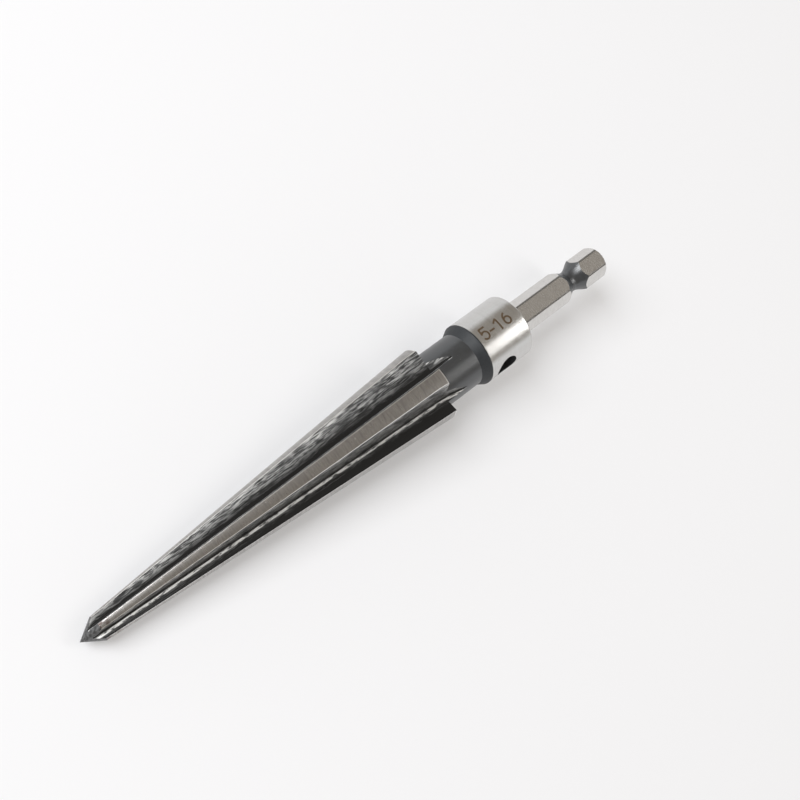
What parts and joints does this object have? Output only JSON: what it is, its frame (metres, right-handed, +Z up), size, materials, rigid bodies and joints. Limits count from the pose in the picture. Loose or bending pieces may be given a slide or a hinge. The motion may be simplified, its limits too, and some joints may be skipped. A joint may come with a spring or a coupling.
{
  "type": "taper reamer",
  "caption": "Solid steel taper reamer: straight-fluted conical head with a blunt point, round neck, collar with a cross hole, and a grooved hexagon drive shank.",
  "frame": {"origin": "centre of the bounding box in X and Y, at the height of the surface that the tool lies on", "axes": "+X from the cutting point to the drive end, seen from above; +Z up; the tool lies on the edges of its two lowest ribs, so its axis rises 3.6 degrees towards the drive end"},
  "size_m": [0.1298, 0.0158, 0.0155],
  "materials": {
    "reamer_steel": "ground lands, collar and shank; blackened flutes, neck and groove"
  },
  "bodies": {
    "root": {"reamer": "reamer_steel"}
  },
  "joints": []
}
